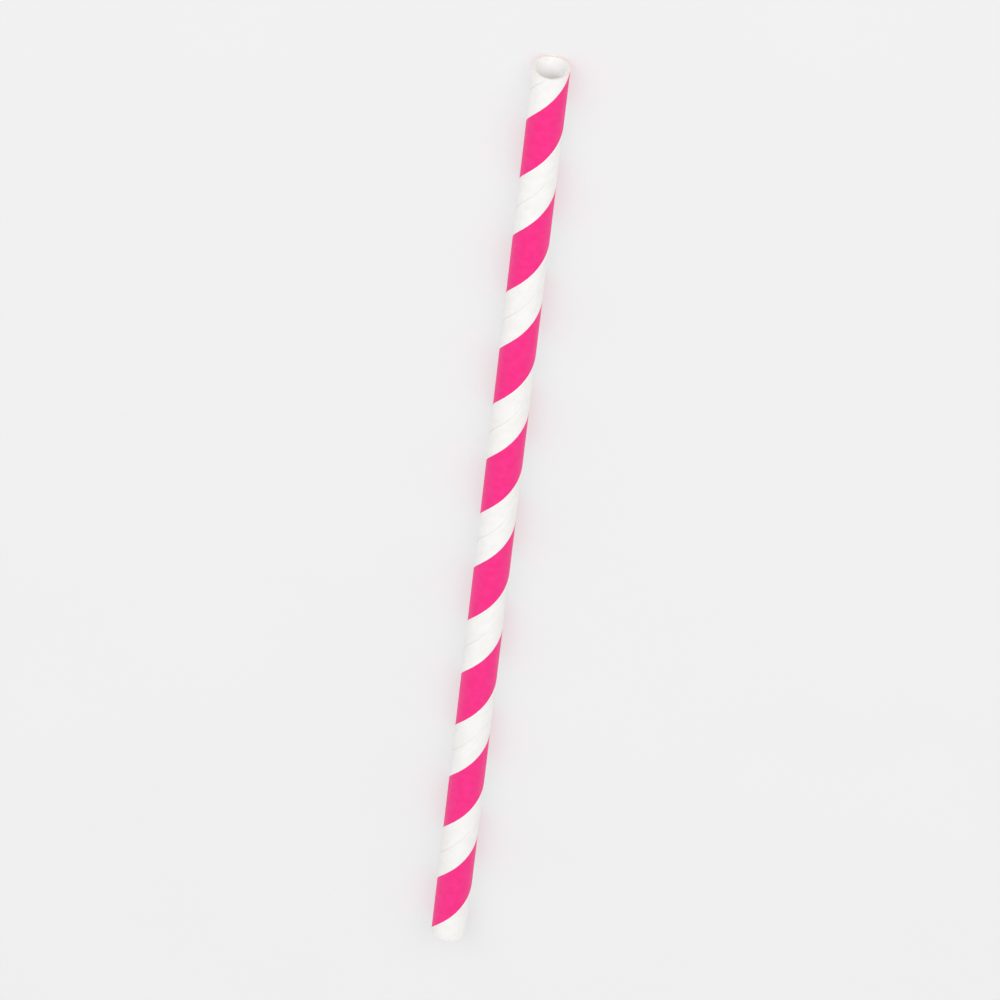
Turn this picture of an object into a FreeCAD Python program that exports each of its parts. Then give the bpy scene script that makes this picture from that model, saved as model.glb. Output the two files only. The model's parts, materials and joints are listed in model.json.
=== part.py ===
import FreeCAD, Part
import math
import os

# Paper drinking straw, wound from strips of paper into one tube, in millimetres.
# It lies along X on the plane z = 0, with the middle of its length over the origin and
# its mouth at +X. Its face is laid out on the unrolled paper and wrapped round.

# Driving dimensions of the tube. Its wall is three strips of paper, glued into one.
outer_diameter = 6.0
length = 197.0
wall = 0.40

# Driving dimensions of the printed strip, which is wound last, measured square to its
# edges. Two neighbouring turns leave the seam between them, in the middle of the bare
# paper, and glue fills it to this depth under the paper's face.
strip_width = 15.0
print_width = 7.5
seam_gap = 0.20
seam_depth = 0.05

# From the cut of the mouth to the first printed band, along the tube's uppermost line
first_print = 5.4

# Sizes that follow
outer_radius = outer_diameter / 2
bore_radius = outer_radius - wall
seam_radius = outer_radius - seam_depth
full_turn = 2 * math.pi

# A strip climbs the tube at this angle to its axis. Its width, its seam and its print
# each take up more of the axis than they measure across.
winding_angle = math.acos(strip_width / (math.pi * outer_diameter))
axial_stretch = 1 / math.sin(winding_angle)
pitch = strip_width * axial_stretch
axial_seam = seam_gap * axial_stretch
axial_print = print_width * axial_stretch

# The tube is made upright, with its mouth up, and the line that lies uppermost later is
# where the unrolled paper begins and ends. These are heights on that line.
first_print_middle = length - first_print - axial_print / 2
seam_start = first_print_middle - pitch / 2 - axial_seam / 2

# The fields of one turn, upwards from the start of its seam: how far up each one ends,
# and the radius of its face. Bare paper, print and bare paper follow the seam.
turn_fields = [
    (axial_seam, seam_radius),
    ((pitch + axial_seam - axial_print) / 2, outer_radius),
    ((pitch + axial_seam + axial_print) / 2, outer_radius),
    (pitch, outer_radius),
]


def round_surface(radius):
    """The surface, round the tube's axis, that the paper is wrapped on."""
    surface = Part.Cylinder()
    surface.Radius = radius
    return surface


def wrapped(start, end, radius):
    """A straight line of the unrolled paper, wrapped round at this radius. Its ends are
    given as the angle round the tube and the height."""
    vector = FreeCAD.Base.Vector2d
    return Part.Geom2d.Line2dSegment(vector(*start), vector(*end)).toShape(round_surface(radius))


def wrapped_face(outline, radius):
    """The round face inside an outline of the unrolled paper."""
    edges = [wrapped(start, end, radius) for start, end in sides(outline)]
    return Part.Face(round_surface(radius), Part.Wire(edges))


def step(point):
    """The short edge that goes up the side of the seam, at this point of the paper."""
    angle, height = point
    out = FreeCAD.Vector(math.cos(angle), math.sin(angle), 0)
    up = FreeCAD.Vector(0, 0, height)
    return Part.makeLine(out * seam_radius + up, out * outer_radius + up)


def sides(outline):
    """The sides of an outline, each as its two ends."""
    return list(zip(outline, outline[1:] + outline[:1]))


def trimmed(outline, height, way):
    """What is left of an unrolled outline above this height, or below it for way -1."""
    kept = []
    for start, end in sides(outline):
        before = way * (start[1] - height)
        after = way * (end[1] - height)
        if before >= 0:
            kept.append(start)
        if before * after < 0:
            share = before / (before - after)
            kept.append((start[0] + share * (end[0] - start[0]), height))
    return kept


def unrolled_fields():
    """Every field of every turn, cut off square at both ends of the tube: its outline on
    the unrolled paper, and the radius of its face."""
    fields = []
    lowest_turn = math.floor(-seam_start / pitch) - 1
    highest_turn = math.ceil((length - seam_start) / pitch)
    for turn in range(lowest_turn, highest_turn + 1):
        base = seam_start + turn * pitch
        low = base
        for rise, radius in turn_fields:
            top = base + rise
            outline = [(0, low), (full_turn, low + pitch), (full_turn, top + pitch), (0, top)]
            outline = trimmed(trimmed(outline, 0, 1), length, -1)
            if outline:
                fields.append((outline, radius))
            low = top
    return fields


def upright_tube():
    """The tube standing on its lower end, with the open seam of the printed strip, and
    with the edges of the print drawn on its face."""
    faces = []
    end_edges = {0: [], length: []}
    for outline, radius in unrolled_fields():
        faces.append(wrapped_face(outline, radius))
        for start, end in sides(outline):
            if start[1] == end[1]:
                end_edges[start[1]].append(wrapped(start, end, radius))
            elif radius == seam_radius and start[0] != end[0]:
                foot = wrapped(start, end, seam_radius)
                faces.append(Part.makeRuledSurface(foot, wrapped(start, end, outer_radius)))
                for corner in (start, end):
                    if corner[1] in end_edges:
                        end_edges[corner[1]].append(step(corner))
    for height, edges in end_edges.items():
        outline = Part.Wire(Part.__sortEdges__(edges))
        bore = Part.Wire(Part.makeCircle(bore_radius, FreeCAD.Vector(0, 0, height)))
        faces += Part.Face(outline).cut(Part.Face(bore)).Faces
    faces.append(Part.makeCylinder(bore_radius, length).Faces[0])
    shell = Part.Shell(faces)
    shell.sewShape()
    precision = FreeCAD.Base.Precision
    shell.fix(precision.confusion(), precision.confusion(), precision.approximation())
    return Part.Solid(shell)


def laid_down(tube):
    """The upright tube laid on the plane z = 0, with its mouth at +X and the line where
    the unrolled paper begins on top. Half a turn about the line between X and Z does it."""
    tube.rotate(FreeCAD.Vector(0, 0, 0), FreeCAD.Vector(1, 0, 1), 180)
    tube.translate(FreeCAD.Vector(-length / 2, 0, outer_radius))
    return tube


os.makedirs("parts", exist_ok=True)
straw_tube = laid_down(upright_tube())
straw_tube.exportStep("parts/straw_tube.step")
print(f"pitch {pitch:.3f} mm, bore {2 * bore_radius:.2f} mm, volume {straw_tube.Volume:.2f} mm3")
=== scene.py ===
import json
import math

import bmesh
import bpy
from mathutils import Matrix, Vector


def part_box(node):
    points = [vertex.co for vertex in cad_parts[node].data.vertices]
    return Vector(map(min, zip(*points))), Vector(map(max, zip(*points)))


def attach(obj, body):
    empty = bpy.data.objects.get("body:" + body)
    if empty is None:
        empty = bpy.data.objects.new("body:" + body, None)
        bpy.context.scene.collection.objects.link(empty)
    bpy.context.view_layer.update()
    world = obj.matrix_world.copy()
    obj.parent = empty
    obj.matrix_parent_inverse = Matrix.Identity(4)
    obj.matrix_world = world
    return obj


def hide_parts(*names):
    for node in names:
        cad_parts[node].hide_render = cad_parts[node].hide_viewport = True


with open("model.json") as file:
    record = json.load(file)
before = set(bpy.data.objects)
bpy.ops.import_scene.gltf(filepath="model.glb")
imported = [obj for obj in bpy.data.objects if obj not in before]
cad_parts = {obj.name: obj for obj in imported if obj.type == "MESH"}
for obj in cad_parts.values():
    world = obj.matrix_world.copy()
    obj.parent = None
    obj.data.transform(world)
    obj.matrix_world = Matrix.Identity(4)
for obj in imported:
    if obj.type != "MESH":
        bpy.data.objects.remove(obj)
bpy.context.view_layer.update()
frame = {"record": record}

# A paper drinking straw, wound from strips of paper. It lies along X with its mouth at +X.
MM = 0.001

# The tube's own sizes, from its box and its record
foot_end, mouth_end = (corner.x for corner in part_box("straw_tube"))
mounts = {mount["name"]: mount["dims"] for mount in frame["record"]["mounts"]}
outer_radius = mounts["outer_wall"]["r_mm"] * MM
bore_radius = mounts["bore"]["r_mm"] * MM

# The printed strip, measured square to its edges, as in the part's source. The last size
# runs along the tube's uppermost line, from the cut of the mouth to the first print.
STRIP_WIDTH = 15.0 * MM
PRINT_WIDTH = 7.5 * MM
SEAM_GAP = 0.20 * MM
SEAM_DEPTH = 0.05 * MM
FIRST_PRINT = 5.4 * MM

# The innermost strip's seam in the bore, and how far it lies from the printed strip's
# seam, as a share of a turn
BORE_SEAM_GAP = 0.12 * MM
BORE_SEAM_DEPTH = 0.02 * MM
BORE_SEAM_SHIFT = 0.38

# A seam's floor is flat to this share of its gap on both sides of its middle, and its
# sides rise softly from there to the gap's edges.
FLAT_FLOOR = 0.4

# What the knife leaves at the cut ends, and the slight unevenness of the wound wall. Its
# waves are about 8 mm long, and the fibres of a cut stand about 0.15 mm apart.
RIM_ROUNDING = 0.03 * MM
FUZZ_DEPTH = 0.010 * MM
UNEVENNESS = 0.012 * MM
WAVES_PER_METRE = 125.0
CUT_FIBRES_PER_METRE = 6500.0

# How finely the tube is drawn, how close its points are joined, the angle from which an
# edge stays sharp, and the seed of its noise
COLUMNS = 160
ROWS_PER_TURN = 16
RIM_ROWS = 32
JOINED_WITHIN = 0.001 * MM
SHARP_ANGLE = math.radians(30)
SEED = 7

# From one seam to the middle of the strip: where the drawn rows lie, as shares of the
# strip's width. They crowd at the seam, whose rounded edges need them.
HALF_STRIP_ROWS = [across * MM / STRIP_WIDTH for across in (0, 0.085, 0.115, 0.17, 0.4, 1.3, 3.0, 5.2, 7.5)]
# Across the cut end, from bore to outer face: rows, and how far back the paper lies there,
# as a share of the rim's rounding. The two dips in the middle are the lines between plies.
CUT_PROFILE = [
    (0, 1), (1, 0.45), (2, 0.12), (3, 0), (11, 0), (12, 0.4), (13, 0),
    (23, 0), (24, 0.4), (25, 0), (29, 0), (30, 0.12), (31, 0.45), (RIM_ROWS, 1),
]


def linear(code):
    """A colour given as sRGB hex, as linear red, green, blue and alpha."""
    channels = [int(code[i:i + 2], 16) / 255 for i in (1, 3, 5)]
    return [c / 12.92 if c <= 0.04045 else ((c + 0.055) / 1.055) ** 2.4 for c in channels] + [1.0]


# Colours. The pink and the white are matched to the lit parts of the photo.
PAPER_THICK = linear("#FAF9F7")
PAPER_THIN = linear("#F6F5F2")
PAPER_FIBRE = linear("#F1EFEB")
# The bore's whites are lighter than the outer paper's: painted light, so that the inside of the mouth comes
# out bright.
BORE_THICK_PAINTED_LIGHT = linear("#FEFDFC")
BORE_THIN_PAINTED_LIGHT = linear("#FBFAF9")
BORE_FIBRE_PAINTED_LIGHT = linear("#F7F5F2")
# The cut's colours are darker than the paper, partly because cut fibres look dull and partly as painted
# shade, so that the ends turned to the lamps do not come out too bright.
CUT_FIBRES_AND_PAINTED_SHADE = linear("#E6E3DC")
CUT_GREY_AND_PAINTED_SHADE = linear("#D8D4CB")
# The seam's darker tint is partly glue and partly painted shade in its groove.
SEAM_GLUE_AND_SHADE = linear("#EFECE6")
PLY_GLUE = linear("#BDB6A8")
INK_FULL = linear("#FB2686")
INK_THIN = linear("#FC308C")
INK_SQUEEZED = linear("#EF1F78")
BOARD_LIGHT = linear("#EDEDEE")
BOARD_DARK = linear("#E9E9EA")
WHITE = linear("#FFFFFF")

# How the surfaces shine. Uncoated paper scatters widely and the ink's film less so. The
# air in paper brings its IOR down from the 1.5 of its fibres.
PAPER_IOR = 1.36
PAPER_ROUGHNESS = 0.62
INK_ROUGHNESS = 0.5
CUT_ROUGHNESS = 0.8
FIBRE_ROUGHNESS = 0.1

# The clouds in each paper, in millimetres along the strip and across it: how evenly its
# pulp lies, its fibres, the ink's film and edge, and the torn fibres of the cut. Real
# fibres are about 0.03 mm wide, and these are drawn coarser so that they show.
FORMATION = (2.5, 1.6)
FIBRES = (1.6, 0.22)
INK_FILM = (1.4, 1.4)
INK_EDGE = (0.5, 0.5)
BORE_FORMATION = (2.0, 1.4)
TORN_FIBRES = (0.3, 0.08)

# Between which values of its noise each of them fades in
CLOUD_EDGES = (0.35, 0.65)
FIBRE_EDGES = (0.58, 0.75)
BORE_FIBRE_EDGES = (0.55, 0.75)
TORN_EDGES = (0.4, 0.65)

# How strongly a layer shows at the first and the second of its edges
FADING_IN = (0, 1)
FADING_OUT = (1, 0)

# How far the fibres stand out, in millimetres
FACE_RELIEF = 0.008
BORE_RELIEF = 0.012
CUT_RELIEF = 0.02

# The edge of the ink, in millimetres: how far it wanders, how soft it is, and how wide a
# rim the printing plate squeezes darker
INK_RAGGEDNESS = 0.06
INK_BLUR = 0.02
INK_SQUEEZE = 0.16

# Where the glue and the painted shade in the printed strip's seam fade out, as shares of the
# gap, counted from its middle
SEAM_GLUE_AND_SHADE_EDGES = (0.4, 0.6)

# The glue lines on the cut, in millimetres: how far from the bore they lie, between what
# distances from their middle they fade out, and how strongly they show at those two
PLY_LINES = (0.15, 0.30)
PLY_LINE_EDGES = (0.01, 0.025)
PLY_LINE_FADING = (0.8, 0)

# The board under the straw, and how much of what the camera sees of it is its own white
BOARD_WIDTH = 12.0
BOARD_CLOUDS_PER_METRE = 30.0
BOARD_ROUGHNESS = 0.9
BOARD_SPECULAR = 0.2
BOARD_OWN_WHITE = 0.55
BOARD_BRIGHTNESS = 0.9

# The light: a pale room, and two wide softboxes beyond the mouth, one to each side, so
# that the tube is lit evenly round its face and the light falls into the mouth too
ROOM_STRENGTH = 0.6
SOFTBOX_PLACE = Vector((3.0, 1.5, 2.4))
SOFTBOX_WIDTH = 2.8
SOFTBOX_POWER = 69.0

# The camera stands as in the photo: the straw's mouth tips towards it, and the straw
# leans to the right. Before a lying straw this means looking down on it.
TIPPED = math.radians(43.5)
LEANING = math.radians(6.8)
CAMERA_DISTANCE = 1.5
LENS_MM = 328.0
AIMED_AT = Vector((4.0 * MM, 0, outer_radius))

# Sizes that follow. A strip climbs the tube at an angle, so its width takes up more of the
# axis than it measures across. The turns that are drawn run a little past both ends.
winding_angle = math.acos(STRIP_WIDTH / (2 * math.pi * outer_radius))
pitch = STRIP_WIDTH / math.sin(winding_angle)
axial_print = PRINT_WIDTH / math.sin(winding_angle)
first_seam = mouth_end - FIRST_PRINT - axial_print / 2 - pitch / 2
first_turn = math.floor((foot_end - first_seam) / pitch - 0.5) - 1
last_turn = math.ceil((mouth_end - first_seam) / pitch + 0.5) + 1


def feed(tree, node, inputs):
    """Links a socket or sets a plain value for each of these inputs of a node, in their
    order or by their names."""
    pairs = inputs.items() if isinstance(inputs, dict) else enumerate(inputs)
    for name, value in pairs:
        if isinstance(value, bpy.types.NodeSocket):
            tree.links.new(value, node.inputs[name])
        else:
            node.inputs[name].default_value = value


def add(tree, kind, inputs=(), **settings):
    """Adds a node to a tree, with its settings and with what goes into it."""
    node = tree.nodes.new(kind)
    for name, value in settings.items():
        setattr(node, name, value)
    feed(tree, node, inputs)
    return node


def work_out(tree, values, steps):
    """Works out a list of sums in a tree. Each step is a name, an operation and its terms,
    which are names in values or plain numbers. Results are kept in values by name, and the
    last one is given back."""
    for name, operation, *terms in steps:
        terms = [values[term] if isinstance(term, str) else term for term in terms]
        values[name] = add(tree, "ShaderNodeMath", terms, operation=operation).outputs[0]
    return values[name]


def straight_curve(node, points):
    """Lets a curve node run straight from point to point, and gives its output."""
    curve = node.mapping.curves[0]
    curve.points[0].location = points[0]
    curve.points[-1].location = points[-1]
    for point in points[1:-1]:
        curve.points.new(*point)
    for point in curve.points:
        point.handle_type = "VECTOR"
    node.mapping.update()
    return node.outputs[0]


def tube_grid(tree, size, rows):
    """A grid with one column for each step round the tube. Gives its mesh, the number of
    each point's row, and how far round the tube the point is, from -0.5 to 0.5."""
    values = {**size, "rows": rows, "index": add(tree, "GeometryNodeInputIndex").outputs[0]}
    work_out(tree, values, [
        ("row points", "ADD", "rows", 1),
        ("column points", "ADD", "Columns", 1),
        ("row", "MODULO", "index", "row points"),
        ("column", "DIVIDE", "index", "row points"),
        ("column", "FLOOR", "column"),
        ("around", "DIVIDE", "column", "Columns"),
        ("around", "SUBTRACT", "around", 0.5),
    ])
    mesh = add(tree, "GeometryNodeMeshGrid", {
        "Vertices X": values["column points"], "Vertices Y": values["row points"],
    }).outputs["Mesh"]
    # The number of a point means nothing on a corner or a face, so both are read there
    # from the points.
    row, around = (
        add(tree, "GeometryNodeFieldOnDomain", (values[name],), domain="POINT", data_type="FLOAT").outputs[0]
        for name in ("row", "around")
    )
    return mesh, row, around


def wall_radius(tree, size, face, x, around):
    """How far from the axis the wall's outer or bore face lies, at a place along the tube
    and round it: its radius, with the groove of its seam and the wall's unevenness."""
    values = {**size, "x": x, "around": around}
    work_out(tree, values, [
        ("up", "SUBTRACT", "x", face + " First Seam"),
        ("turns", "DIVIDE", "up", "Pitch"),
        ("turns", "SUBTRACT", "turns", "around"),
        ("off seam", "WRAP", "turns", 0.5, -0.5),
        ("off seam", "ABSOLUTE", "off seam"),
        ("off seam", "MULTIPLY", "off seam", "Strip Width"),
        ("groove edge", "MULTIPLY", face + " Seam Gap", 0.5),
        ("groove floor", "MULTIPLY", face + " Seam Gap", FLAT_FLOOR),
        ("angle", "MULTIPLY", "around", 2 * math.pi),
        ("high", "COSINE", "angle"),
        ("high", "MULTIPLY", "high", "Outer Radius"),
        ("side", "SINE", "angle"),
        ("side", "MULTIPLY", "side", "Outer Radius"),
    ])
    values["groove"] = add(tree, "ShaderNodeMapRange", {
        "Value": values["off seam"], "From Min": values["groove floor"], "From Max": values["groove edge"],
        "To Min": size[face + " Seam Depth"], "To Max": 0.0,
    }, interpolation_type="SMOOTHSTEP").outputs[0]
    place = add(tree, "ShaderNodeCombineXYZ", (x, values["side"], values["high"])).outputs[0]
    values["waves"] = add(tree, "ShaderNodeTexNoise", {
        "Vector": place, "W": size["Seed"], "Scale": WAVES_PER_METRE, "Detail": 1.0,
    }, noise_dimensions="4D").outputs[0]
    return work_out(tree, values, [
        ("waves", "MULTIPLY", "waves", "Unevenness"),
        ("radius", "SUBTRACT", face + " Radius", "groove"),
        ("radius", "SUBTRACT", "radius", "waves"),
    ])


def set_round(tree, size, mesh, x, around, radius):
    """Puts each point of a grid at its place along the tube, round it and out from it."""
    values = {**size, "around": around, "radius": radius}
    work_out(tree, values, [
        ("angle", "MULTIPLY", "around", 2 * math.pi),
        ("y", "SINE", "angle"),
        ("y", "MULTIPLY", "y", "radius"),
        ("y", "MULTIPLY", "y", -1),
        ("z", "COSINE", "angle"),
        ("z", "MULTIPLY", "z", "radius"),
        ("z", "ADD", "z", "Outer Radius"),
    ])
    place = add(tree, "ShaderNodeCombineXYZ", (x, values["y"], values["z"])).outputs[0]
    return add(tree, "GeometryNodeSetPosition", {"Geometry": mesh, "Position": place}).outputs[0]


def placed_on_paper(tree, mesh, along, across):
    """Keeps where each corner lies on the paper, in millimetres, for the materials."""
    place = add(tree, "ShaderNodeCombineXYZ", (along, across)).outputs[0]
    return add(tree, "GeometryNodeStoreNamedAttribute", {
        "Geometry": mesh, "Name": "paper", "Value": place,
    }, data_type="FLOAT_VECTOR", domain="CORNER").outputs[0]


def wound_wall(tree, size, face):
    """The outer or bore face of the wall. Its rows follow the strip that is wound there,
    and they stop at both ends, short of the rounding of the rims."""
    mesh, row, around = tube_grid(tree, size, size["Rows"])
    values = {**size, "row": row, "around": around}
    share = work_out(tree, values, [
        ("turns", "DIVIDE", "row", "Rows per Turn"),
        ("turn", "FLOOR", "turns"),
        ("share", "SUBTRACT", "turns", "turn"),
    ])
    strip_rows = HALF_STRIP_ROWS + [1 - across for across in HALF_STRIP_ROWS[-2::-1]]
    values["strip share"] = straight_curve(
        add(tree, "ShaderNodeFloatCurve", {"Value": share}),
        [(place / (len(strip_rows) - 1), across) for place, across in enumerate(strip_rows)],
    )
    work_out(tree, values, [
        ("phase", "ADD", "turn", "First Turn"),
        ("phase", "ADD", "phase", "strip share"),
        ("phase", "ADD", "phase", "around"),
        ("x", "MULTIPLY", "phase", "Pitch"),
        ("x", "ADD", "x", face + " First Seam"),
        ("lowest", "ADD", "Foot End", "Rim Rounding"),
        ("highest", "SUBTRACT", "Mouth End", "Rim Rounding"),
        ("x", "MAXIMUM", "x", "lowest"),
        ("x", "MINIMUM", "x", "highest"),
    ])
    radius = wall_radius(tree, size, face, values["x"], around)
    mesh = set_round(tree, size, mesh, values["x"], around, radius)
    # Each face knows the turn of the strip that it belongs to, so that the paper's own
    # lengths run on along the strip from turn to turn.
    values["own turn"] = add(
        tree, "GeometryNodeFieldOnDomain", {"Value": values["turns"]}, domain="FACE", data_type="FLOAT"
    ).outputs[0]
    work_out(tree, values, [
        ("own turn", "FLOOR", "own turn"),
        ("own turn", "ADD", "own turn", "First Turn"),
        ("wound", "ADD", "around", "own turn"),
        ("circumference", "MULTIPLY", face + " Radius", 2 * math.pi),
        ("turn length", "POWER", "circumference", 2),
        ("pitch squared", "POWER", "Pitch", 2),
        ("turn length", "ADD", "turn length", "pitch squared"),
        ("turn length", "SQRT", "turn length"),
        ("round", "MULTIPLY", "wound", "circumference"),
        ("round", "MULTIPLY", "round", "circumference"),
        ("up", "SUBTRACT", "x", face + " First Seam"),
        ("along", "MULTIPLY", "up", "Pitch"),
        ("along", "ADD", "along", "round"),
        ("along", "DIVIDE", "along", "turn length"),
        ("along", "DIVIDE", "along", MM),
        ("across", "DIVIDE", "up", "Pitch"),
        ("across", "SUBTRACT", "across", "wound"),
        ("across", "MULTIPLY", "across", "circumference"),
        ("across", "MULTIPLY", "across", "Pitch"),
        ("across", "DIVIDE", "across", "turn length"),
        ("across", "DIVIDE", "across", MM),
    ])
    return placed_on_paper(tree, mesh, values["along"], values["across"])


def cut_end(tree, size, end, inward):
    """The cut face at one end, from bore to outer face: its rims rounded by the knife, with
    the lines between the plies and the fibres that stand up. inward is 1 at the foot and
    -1 at the mouth."""
    mesh, row, around = tube_grid(tree, size, size["Rim Rows"])
    values = {**size, "row": row, "around": around}
    work_out(tree, values, [
        ("rim", "MULTIPLY", "Rim Rounding", inward),
        ("rim", "ADD", "rim", end),
        ("share", "DIVIDE", "row", "Rim Rows"),
    ])
    values["bore"] = wall_radius(tree, size, "Bore", values["rim"], around)
    values["outer"] = wall_radius(tree, size, "Outer", values["rim"], around)
    values["back"] = straight_curve(
        add(tree, "ShaderNodeFloatCurve", {"Value": values["share"]}),
        [(place / RIM_ROWS, back) for place, back in CUT_PROFILE],
    )
    work_out(tree, values, [
        ("wall", "SUBTRACT", "outer", "bore"),
        ("out", "MULTIPLY", "wall", "share"),
        ("radius", "ADD", "out", "bore"),
        ("out", "DIVIDE", "out", MM),
        ("round", "MULTIPLY", "around", 2 * math.pi * outer_radius / MM),
        ("angle", "MULTIPLY", "around", 2 * math.pi),
        ("side", "SINE", "angle"),
        ("side", "MULTIPLY", "side", "radius"),
        ("high", "COSINE", "angle"),
        ("high", "MULTIPLY", "high", "radius"),
    ])
    place = add(tree, "ShaderNodeCombineXYZ", (values["rim"], values["side"], values["high"])).outputs[0]
    values["fibres"] = add(tree, "ShaderNodeTexNoise", {
        "Vector": place, "W": size["Seed"], "Scale": CUT_FIBRES_PER_METRE, "Detail": 2.0,
    }, noise_dimensions="4D").outputs[0]
    # The fibres stand up most in the middle of the wall and not at all at its rims.
    work_out(tree, values, [
        ("other share", "SUBTRACT", 1, "share"),
        ("inside", "MULTIPLY", "share", "other share"),
        ("inside", "MULTIPLY", "inside", 4),
        ("fibres", "MULTIPLY", "fibres", "inside"),
        ("fibres", "MULTIPLY", "fibres", "Fuzz Depth"),
        ("back", "MULTIPLY", "back", "Rim Rounding"),
        ("back", "ADD", "back", "fibres"),
        ("back", "MULTIPLY", "back", inward),
        ("x", "ADD", "back", end),
    ])
    mesh = set_round(tree, size, mesh, values["x"], around, values["radius"])
    return placed_on_paper(tree, mesh, values["round"], values["out"])


def wound_tube_tree(sizes):
    """The whole tube as one geometry tree, with its sizes as named inputs. Gives the tree
    and the identifier of each input."""
    tree = bpy.data.node_groups.new("wound_paper_tube", "GeometryNodeTree")
    tree.interface.new_socket("Geometry", in_out="OUTPUT", socket_type="NodeSocketGeometry")
    identifiers = {}
    for name, value in sizes.items():
        kind = "Material" if isinstance(value, bpy.types.Material) else "Float"
        socket = tree.interface.new_socket(name, in_out="INPUT", socket_type="NodeSocket" + kind)
        identifiers[name] = socket.identifier
    inputs = add(tree, "NodeGroupInput")
    size = {name: inputs.outputs[name] for name in sizes}

    join = add(tree, "GeometryNodeJoinGeometry")
    for mesh, paper in (
        (wound_wall(tree, size, "Outer"), "Printed Paper"),
        (wound_wall(tree, size, "Bore"), "Bore Paper"),
        (cut_end(tree, size, size["Foot End"], 1), "Cut Paper"),
        (cut_end(tree, size, size["Mouth End"], -1), "Cut Paper"),
    ):
        mesh = add(tree, "GeometryNodeSetMaterial", {"Geometry": mesh, "Material": size[paper]}).outputs[0]
        tree.links.new(mesh, join.inputs[0])
    merged = add(tree, "GeometryNodeMergeByDistance", {
        "Geometry": join.outputs[0], "Distance": JOINED_WITHIN,
    })
    real = add(tree, "GeometryNodeRealizeInstances", (merged.outputs[0],))
    add(tree, "NodeGroupOutput", (real.outputs[0],))
    return tree, identifiers


def finished_mesh(name, tree, identifiers, sizes):
    """Evaluates the tree once and keeps the result as a plain mesh object at the origin."""
    carrier = bpy.data.objects.new("carrier", bpy.data.meshes.new("carrier"))
    bpy.context.collection.objects.link(carrier)
    modifier = carrier.modifiers.new("Geometry", "NODES")
    modifier.node_group = tree
    for key, value in sizes.items():
        modifier[identifiers[key]] = value
    evaluated = carrier.evaluated_get(bpy.context.evaluated_depsgraph_get())
    mesh = bpy.data.meshes.new_from_object(evaluated)
    # The carrier's own empty slot comes first, and goes.
    mesh.materials.pop(index=0)
    bpy.data.objects.remove(carrier)
    shell = bmesh.new()
    shell.from_mesh(mesh)
    bmesh.ops.recalc_face_normals(shell, faces=shell.faces)
    shell.to_mesh(mesh)
    shell.free()
    mesh.shade_smooth()
    mesh.set_sharp_from_angle(angle=SHARP_ANGLE)
    piece = bpy.data.objects.new(name, mesh)
    bpy.context.collection.objects.link(piece)
    return piece


def paper_material(name):
    """A new material: itself, its tree, its shader, and the place on the paper, in
    millimetres along and across the strip, or round and out from the bore on a cut end."""
    material = bpy.data.materials.new(name)
    material.use_nodes = True
    tree = material.node_tree
    place = add(tree, "ShaderNodeAttribute", attribute_name="paper").outputs["Vector"]
    return material, tree, tree.nodes["Principled BSDF"], place


def clouds(tree, place, size):
    """Noise on the paper, with clouds of this size along the strip and across it."""
    long, wide = size
    shrunk = add(tree, "ShaderNodeVectorMath", (place, (1 / long, 1 / wide, 1)), operation="MULTIPLY")
    noise = {"Vector": shrunk.outputs[0], "Scale": 1.0, "Detail": 3.0}
    return add(tree, "ShaderNodeTexNoise", noise).outputs[0]


def layered(tree, colour, layers):
    """Lays colours over a first one. Each layer is its colour, the value that it follows,
    the two edges of that value between which it fades softly, and how strongly it shows at
    each of them."""
    for laid, value, edges, fading in layers:
        amount = add(tree, "ShaderNodeMapRange", (value, *edges, *fading), interpolation_type="SMOOTHSTEP")
        inputs = {0: amount.outputs[0], 6: colour, 7: laid}
        colour = add(tree, "ShaderNodeMix", inputs, data_type="RGBA").outputs[2]
    return colour


def dressed(tree, shader, colour, roughness, fibres, relief):
    """Gives a paper its colour and roughness, and lets the light fall on it as if its
    fibres stood out by a relief in millimetres."""
    bump = add(tree, "ShaderNodeBump", {"Strength": 1.0, "Distance": relief * MM, "Height": fibres})
    feed(tree, shader, {
        "Base Color": colour, "Roughness": roughness, "IOR": PAPER_IOR, "Normal": bump.outputs[0],
    })


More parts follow.
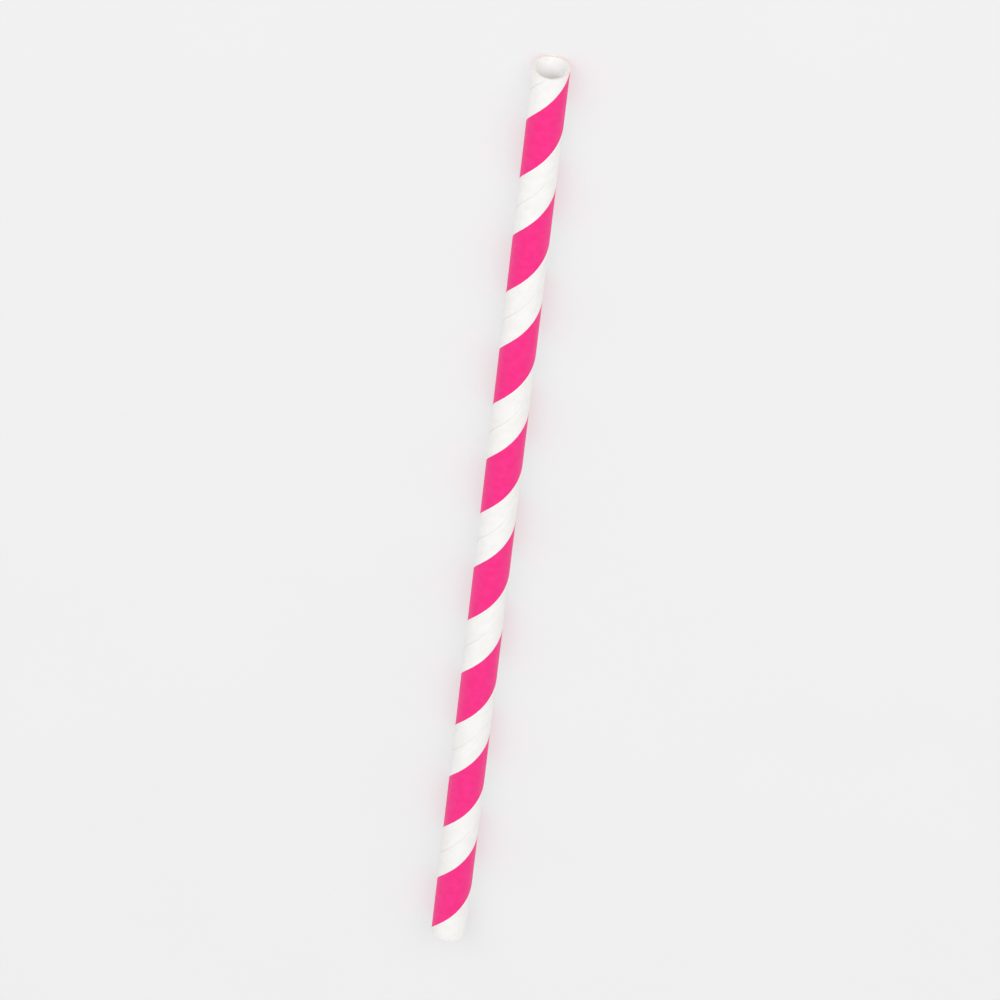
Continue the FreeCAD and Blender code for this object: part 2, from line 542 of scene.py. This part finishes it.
def printed_paper():
    """Bleached paper with one band of water-based flexo ink along the middle of the strip.
    It gives the crisp pink bands, satin where they catch the light, on flat matt white."""
    material, tree, shader, place = paper_material("bleached_paper_flexo_printed_pink")
    across = add(tree, "ShaderNodeSeparateXYZ", (place,)).outputs["Y"]
    fibres = clouds(tree, place, FIBRES)
    values = {"across": across, "ragged": clouds(tree, place, INK_EDGE), "fibres": fibres}
    work_out(tree, values, [
        ("off middle", "SUBTRACT", "across", STRIP_WIDTH / MM / 2),
        ("off middle", "ABSOLUTE", "off middle"),
        ("off seam", "SUBTRACT", STRIP_WIDTH / MM / 2, "off middle"),
        ("ragged", "MULTIPLY", "ragged", INK_RAGGEDNESS),
        ("past ink", "ADD", "off middle", "ragged"),
        ("past ink", "SUBTRACT", "past ink", (PRINT_WIDTH / MM + INK_RAGGEDNESS) / 2),
    ])
    paper = layered(tree, PAPER_THIN, [
        (PAPER_THICK, clouds(tree, place, FORMATION), CLOUD_EDGES, FADING_IN),
        (PAPER_FIBRE, fibres, FIBRE_EDGES, FADING_IN),
        # The seam's tint: partly glue, partly painted shade in the groove
        (SEAM_GLUE_AND_SHADE, values["off seam"], [edge * SEAM_GAP / MM for edge in SEAM_GLUE_AND_SHADE_EDGES], FADING_OUT),
    ])
    ink = layered(tree, INK_THIN, [
        (INK_FULL, clouds(tree, place, INK_FILM), CLOUD_EDGES, FADING_IN),
        (INK_SQUEEZED, values["past ink"], (-INK_SQUEEZE, 0), FADING_IN),
    ])
    values["inked"] = add(
        tree, "ShaderNodeMapRange", (values["past ink"], -INK_BLUR, INK_BLUR, *FADING_OUT),
        interpolation_type="SMOOTHSTEP",
    ).outputs[0]
    colour = add(tree, "ShaderNodeMix", {0: values["inked"], 6: paper, 7: ink}, data_type="RGBA").outputs[2]
    roughness = work_out(tree, values, [
        ("rough", "MULTIPLY", "inked", INK_ROUGHNESS - PAPER_ROUGHNESS),
        ("rough", "ADD", "rough", PAPER_ROUGHNESS - FIBRE_ROUGHNESS / 2),
        ("fibrous", "MULTIPLY", "fibres", FIBRE_ROUGHNESS),
        ("rough", "ADD", "rough", "fibrous"),
    ])
    dressed(tree, shader, colour, roughness, fibres, FACE_RELIEF)
    return material


def bore_paper():
    """Bleached paper without print, as the innermost strip shows it. Its colours are lighter
    than the outer paper's as painted light, which gives the mouth its bright, flat white, with
    the strip's own seam running down the bore."""
    material, tree, shader, place = paper_material("bleached_paper_bare_innermost_strip_with_painted_light")
    fibres = clouds(tree, place, FIBRES)
    colour = layered(tree, BORE_THIN_PAINTED_LIGHT, [
        (BORE_THICK_PAINTED_LIGHT, clouds(tree, place, BORE_FORMATION), CLOUD_EDGES, FADING_IN),
        (BORE_FIBRE_PAINTED_LIGHT, fibres, BORE_FIBRE_EDGES, FADING_IN),
    ])
    dressed(tree, shader, colour, PAPER_ROUGHNESS, fibres, BORE_RELIEF)
    return material


def cut_paper():
    """The three glued plies of bleached paper, cut through by a rotary knife. It gives the
    rims a darker white, partly the dullness of the cut fibres and partly painted shade that
    keeps the ends turned to the lamps from coming out too bright, with the two glue lines
    between the plies."""
    material, tree, shader, place = paper_material("bleached_paper_plies_knife_cut_and_painted_shade")
    out = add(tree, "ShaderNodeSeparateXYZ", (place,)).outputs["Y"]
    torn = clouds(tree, place, TORN_FIBRES)
    layers = [(CUT_FIBRES_AND_PAINTED_SHADE, torn, TORN_EDGES, FADING_IN)]
    for line in PLY_LINES:
        off = work_out(tree, {"out": out}, [("off", "SUBTRACT", "out", line), ("off", "ABSOLUTE", "off")])
        layers.append((PLY_GLUE, off, PLY_LINE_EDGES, PLY_LINE_FADING))
    dressed(tree, shader, layered(tree, CUT_GREY_AND_PAINTED_SHADE, layers), CUT_ROUGHNESS, torn, CUT_RELIEF)
    return material


def studio_board():
    """Matt white board under the straw, with the faint cloudiness of its coating. What looks
    at it straight or in a mirror sees it partly in plain white, so that it comes out pale
    with a light shadow, and it throws no more light on the straw for that."""
    material = bpy.data.materials.new("matt_white_studio_board")
    material.use_nodes = True
    tree = material.node_tree
    shader = tree.nodes["Principled BSDF"]
    place = add(tree, "ShaderNodeTexCoord").outputs["Object"]
    coating = add(tree, "ShaderNodeTexNoise", {
        "Vector": place, "Scale": BOARD_CLOUDS_PER_METRE, "Detail": 2.0,
    }).outputs[0]
    inputs = {0: coating, 6: BOARD_LIGHT, 7: BOARD_DARK}
    colour = add(tree, "ShaderNodeMix", inputs, data_type="RGBA").outputs[2]
    feed(tree, shader, {
        "Base Color": colour, "Roughness": BOARD_ROUGHNESS, "Specular IOR Level": BOARD_SPECULAR,
    })
    seen = work_out(tree, {ray.name: ray for ray in add(tree, "ShaderNodeLightPath").outputs}, [
        ("seen", "MAXIMUM", "Is Camera Ray", "Is Glossy Ray"),
        ("seen", "MAXIMUM", "seen", "Is Transmission Ray"),
        ("seen", "MULTIPLY", "seen", BOARD_OWN_WHITE),
    ])
    white = add(tree, "ShaderNodeEmission", {"Color": WHITE, "Strength": BOARD_BRIGHTNESS}).outputs[0]
    surface = add(tree, "ShaderNodeMixShader", (seen, shader.outputs[0], white)).outputs[0]
    feed(tree, tree.nodes["Material Output"], {"Surface": surface})
    return material


def softbox(name, place):
    """A square soft light that hangs at a place and shines at the straw."""
    light = bpy.data.lights.new(name, "AREA")
    light.size = SOFTBOX_WIDTH
    light.energy = SOFTBOX_POWER
    lamp = bpy.data.objects.new(name, light)
    lamp.location = place
    lamp.rotation_mode = "QUATERNION"
    lamp.rotation_quaternion = (-place).to_track_quat("-Z", "Y")
    bpy.context.collection.objects.link(lamp)


# The straw. Its bore's seam lies further from the axis than the bore, so that its depth
# counts as negative.
sizes = {
    "Foot End": foot_end,
    "Mouth End": mouth_end,
    "Outer Radius": outer_radius,
    "Bore Radius": bore_radius,
    "Pitch": pitch,
    "Strip Width": STRIP_WIDTH,
    "Outer First Seam": first_seam,
    "Outer Seam Gap": SEAM_GAP,
    "Outer Seam Depth": SEAM_DEPTH,
    "Bore First Seam": first_seam + BORE_SEAM_SHIFT * pitch,
    "Bore Seam Gap": BORE_SEAM_GAP,
    "Bore Seam Depth": -BORE_SEAM_DEPTH,
    "Rim Rounding": RIM_ROUNDING,
    "Fuzz Depth": FUZZ_DEPTH,
    "Unevenness": UNEVENNESS,
    "First Turn": first_turn,
    "Rows": (last_turn - first_turn) * ROWS_PER_TURN,
    "Rows per Turn": ROWS_PER_TURN,
    "Rim Rows": RIM_ROWS,
    "Columns": COLUMNS,
    "Seed": SEED,
    "Printed Paper": printed_paper(),
    "Bore Paper": bore_paper(),
    "Cut Paper": cut_paper(),
}
tree, identifiers = wound_tube_tree(sizes)
straw = finished_mesh("paper_straw", tree, identifiers, sizes)
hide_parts("straw_tube")
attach(straw, "root")

# The board that it lies on, the light and the room
bpy.ops.mesh.primitive_plane_add(size=BOARD_WIDTH, location=(0, 0, 0))
board = bpy.context.object
board.name = "studio_board"
board.data.materials.append(studio_board())

for name, side in (("left_softbox", 1), ("right_softbox", -1)):
    softbox(name, SOFTBOX_PLACE * Vector((1, side, 1)))
world = bpy.data.worlds.new("studio_room")
world.use_nodes = True
feed(world.node_tree, world.node_tree.nodes["Background"], {"Color": WHITE, "Strength": ROOM_STRENGTH})
bpy.context.scene.world = world

# The camera
back = Vector((math.sin(TIPPED), 0, math.cos(TIPPED)))
along_view = Vector((math.cos(TIPPED), 0, -math.sin(TIPPED)))
across_view = Vector((0, -1, 0))
right = math.cos(LEANING) * across_view + math.sin(LEANING) * along_view
up = math.cos(LEANING) * along_view - math.sin(LEANING) * across_view
turned = Matrix((right, up, back)).transposed().to_4x4()
lens = bpy.data.cameras.new("camera")
lens.lens = LENS_MM
camera = bpy.data.objects.new("camera", lens)
camera.matrix_world = Matrix.Translation(AIMED_AT + back * CAMERA_DISTANCE) @ turned
bpy.context.collection.objects.link(camera)
bpy.context.scene.camera = camera
bpy.context.scene.view_settings.view_transform = "Standard"
